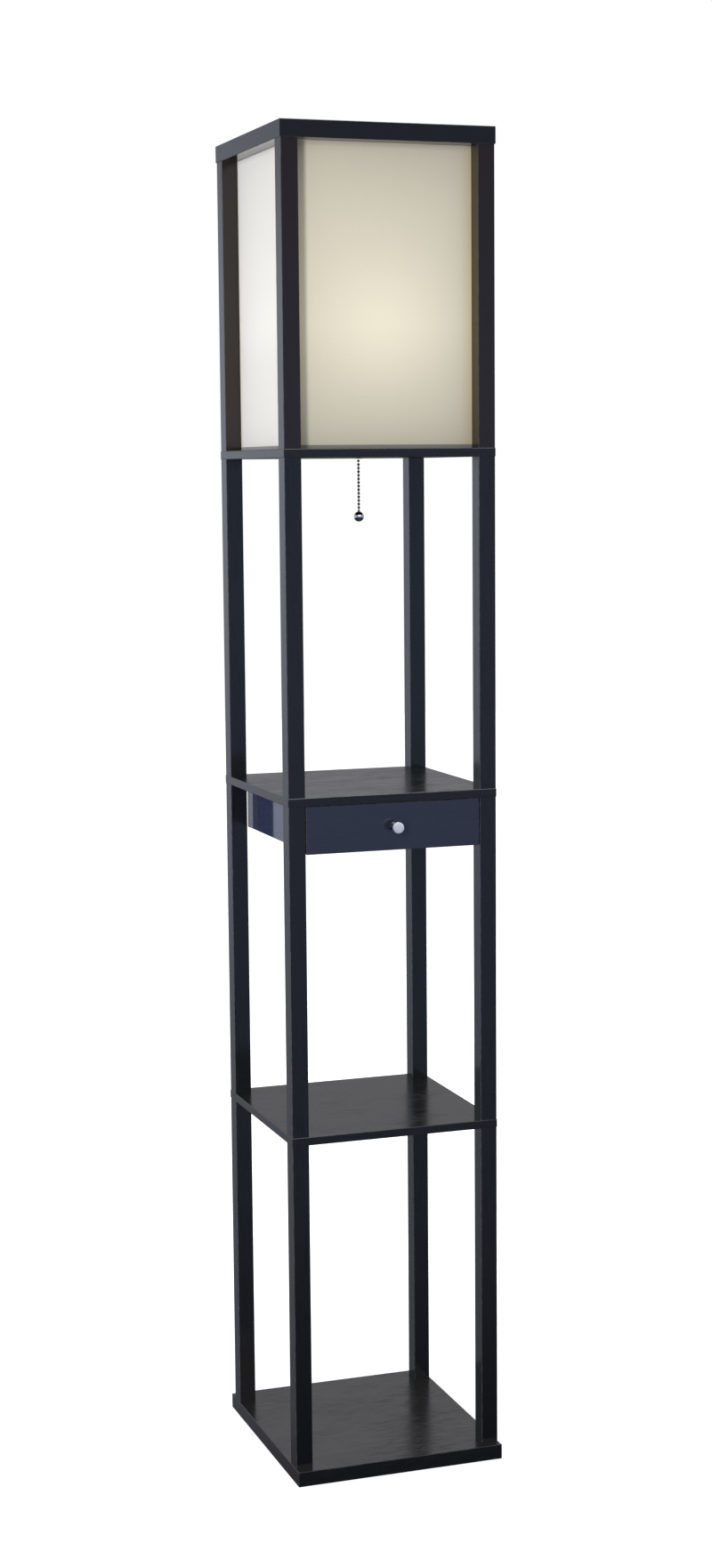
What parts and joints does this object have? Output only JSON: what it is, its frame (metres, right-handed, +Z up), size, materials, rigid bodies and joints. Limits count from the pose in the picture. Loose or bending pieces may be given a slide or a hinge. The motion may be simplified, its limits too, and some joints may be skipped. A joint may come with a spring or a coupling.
{
  "type": "shelf floor lamp",
  "caption": "Square free-standing floor lamp with open shelves, a small drawer, a fabric box shade and a pull-chain switch.",
  "frame": {"origin": "middle of the base board's underside, on the floor", "axes": "+Z up; -Y is the drawer front; +X to the right as seen from the front"},
  "size_m": [0.26, 0.2875, 1.588],
  "materials": {
    "black_lacquer": "satin black lacquer on wood, fine straight grain",
    "black_wood": "black-stained board, open grain under a satin coat",
    "drawer_wood": "black-stained drawer sides, matt",
    "hardboard": "thin black-faced board",
    "dowel_wood": "plain beech",
    "zinc_steel": "zinc-plated",
    "brass": "plain drawn brass",
    "satin_nickel": "satin nickel, turned face",
    "nickel_shell": "bright nickel plate",
    "chain_metal": "dark bright nickel",
    "ball_chrome": "polished",
    "black_plastic": "moulded, slightly glossy",
    "white_plastic": "matt moulded",
    "shade_cloth": "off-white plain weave, laminated on a clear film",
    "hem_tape": "plain woven tape",
    "bulb_glass": "frosted, lit",
    "bulb_base_metal": "plain threaded cap"
  },
  "bodies": {
    "stand": {"base_board": "black_wood", "lower_shelf": "black_wood", "middle_shelf": "black_wood", "light_floor": "black_wood", "bottom_post_front_left": "black_lacquer", "bottom_post_front_right": "black_lacquer", "bottom_post_rear_left": "black_lacquer", "bottom_post_rear_right": "black_lacquer", "lower_post_front_left": "black_lacquer", "lower_post_front_right": "black_lacquer", "lower_post_rear_left": "black_lacquer", "lower_post_rear_right": "black_lacquer", "middle_post_front_left": "black_lacquer", "middle_post_front_right": "black_lacquer", "middle_post_rear_left": "black_lacquer", "middle_post_rear_right": "black_lacquer", "light_post_front_left": "black_lacquer", "light_post_front_right": "black_lacquer", "light_post_rear_left": "black_lacquer", "light_post_rear_right": "black_lacquer", "top_rail_front": "black_lacquer", "top_rail_right": "black_lacquer", "top_rail_back": "black_lacquer", "top_rail_left": "black_lacquer", "case_side_left": "black_lacquer", "case_side_right": "black_lacquer", "case_back": "black_lacquer", "drawer_runners": "drawer_wood", "case_dowels": "dowel_wood", "base_bolts": "zinc_steel", "case_screws": "zinc_steel", "top_frame_screws": "zinc_steel", "hanger_studs": "zinc_steel", "riser_nuts": "zinc_steel", "riser_tube": "zinc_steel", "threaded_inserts": "brass", "screw_shell": "brass", "centre_contact": "brass", "lampholder_cap": "nickel_shell", "lampholder_shell": "nickel_shell", "chain_bushing": "nickel_shell", "lampholder_insulator": "black_plastic", "lead_gland": "black_plastic", "shade_stiffeners": "white_plastic", "shade_sleeve": "shade_cloth", "shade_hems": "hem_tape", "bulb_glass": "bulb_glass", "bulb_base": "bulb_base_metal"},
    "drawer": {"drawer_front": "black_lacquer", "drawer_side_left": "drawer_wood", "drawer_side_right": "drawer_wood", "drawer_back": "drawer_wood", "drawer_bottom": "hardboard", "drawer_dowels": "dowel_wood", "drawer_knob": "satin_nickel", "knob_screw": "zinc_steel"},
    "chain_upper": {"chain_upper": "chain_metal"},
    "chain_swivel": {"chain_swivel": "chain_metal"},
    "chain_lower": {"chain_lower": "chain_metal", "pull_ball": "ball_chrome"}
  },
  "joints": [
    {"name": "drawer_slide", "type": "slide", "parent": "stand", "child": "drawer", "axis": [0, -1, 0], "range_m": [0, 0.16]},
    {"name": "chain_pull", "type": "slide", "parent": "stand", "child": "chain_upper", "axis": [0, 0, -1], "range_m": [0, 0.008], "stiffness_N_per_m": 400},
    {"name": "chain_swing_front", "type": "hinge", "parent": "chain_upper", "child": "chain_swivel", "pos_m": [-0.0029, -0.02201, 1.2084], "axis": [1, 0, 0], "range_deg": [-40, 40]},
    {"name": "chain_swing_side", "type": "hinge", "parent": "chain_swivel", "child": "chain_lower", "pos_m": [-0.0029, -0.02201, 1.2084], "axis": [0, 1, 0], "range_deg": [-40, 40]}
  ]
}
